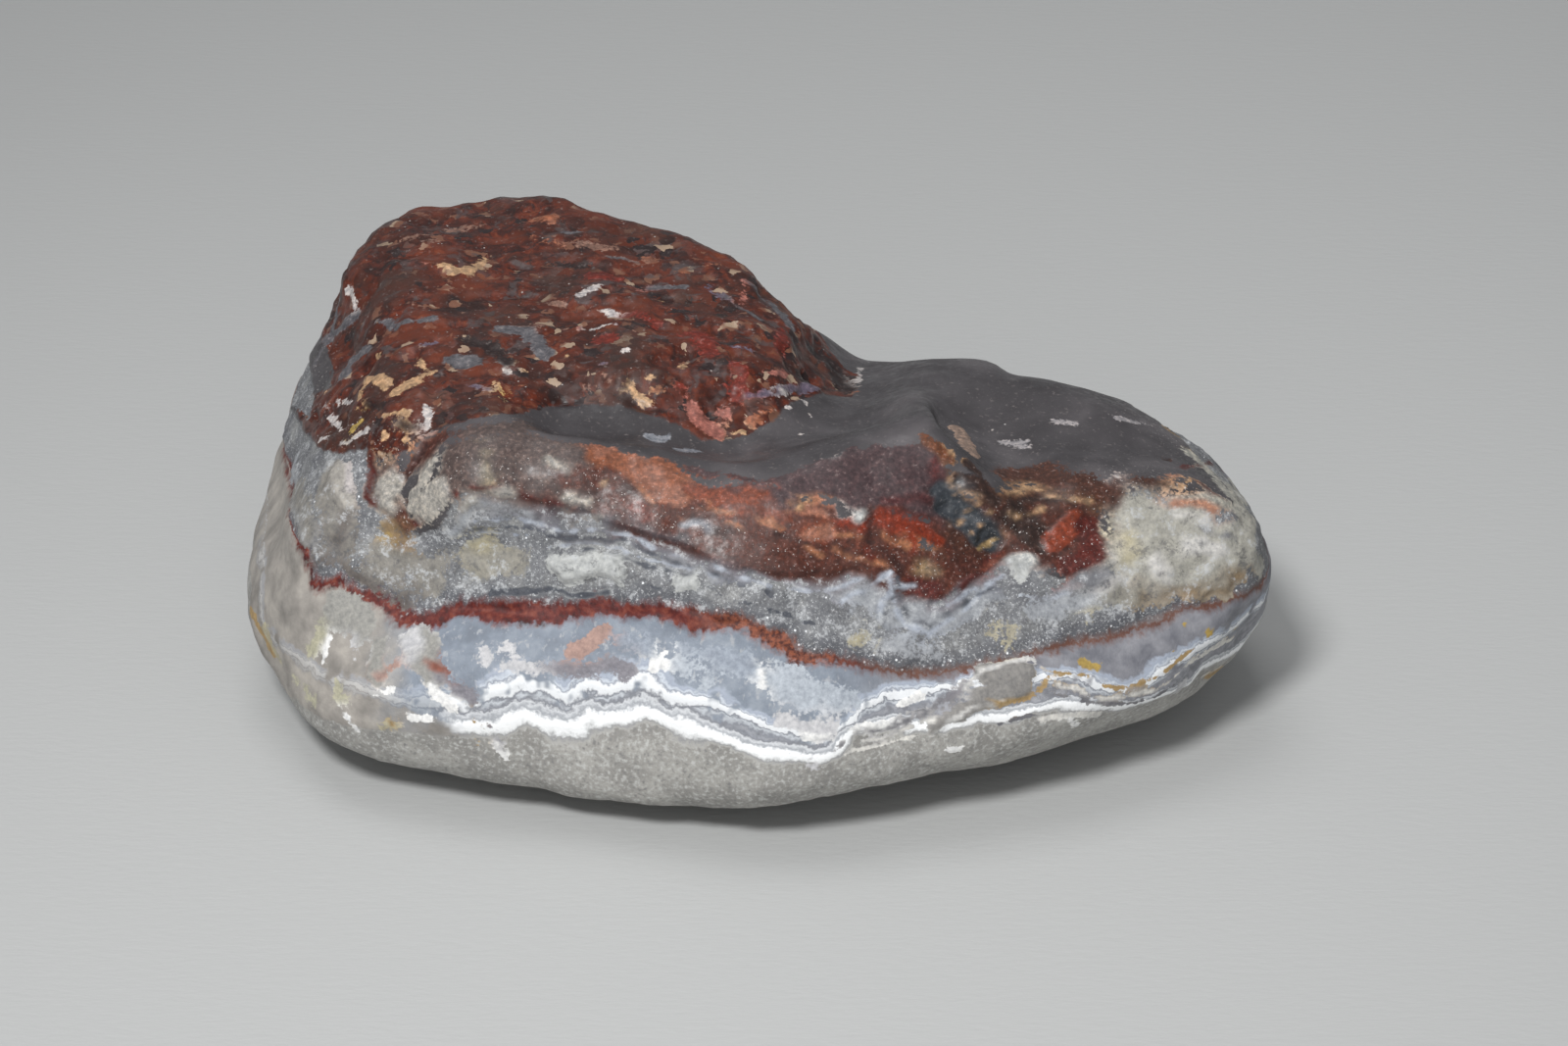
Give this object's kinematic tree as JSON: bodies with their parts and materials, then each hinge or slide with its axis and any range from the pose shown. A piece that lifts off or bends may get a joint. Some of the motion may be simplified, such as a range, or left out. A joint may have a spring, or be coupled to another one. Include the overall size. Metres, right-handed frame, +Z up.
{
  "type": "tumbled chalcedony stone",
  "caption": "Tumbled chalcedony pebble with a jasper hump, a hollowed top behind a raised lip and a layered, banded front; it lies on a small worn flat.",
  "frame": {"origin": "middle of the bounding box in plan, at the height of the flat that the stone rests on", "axes": "+X along the stone's length towards its narrow end, +Y towards its back, +Z up"},
  "size_m": [0.037, 0.0288, 0.0129],
  "materials": {
    "chalcedony": "tumbled: glossy on the jasper and the grey chalcedony, satin to frosted on the quartz bands, with a dark red seam, white lace lines and red-brown jasper"
  },
  "bodies": {
    "root": {"chalcedony_stone": "chalcedony"}
  },
  "joints": []
}
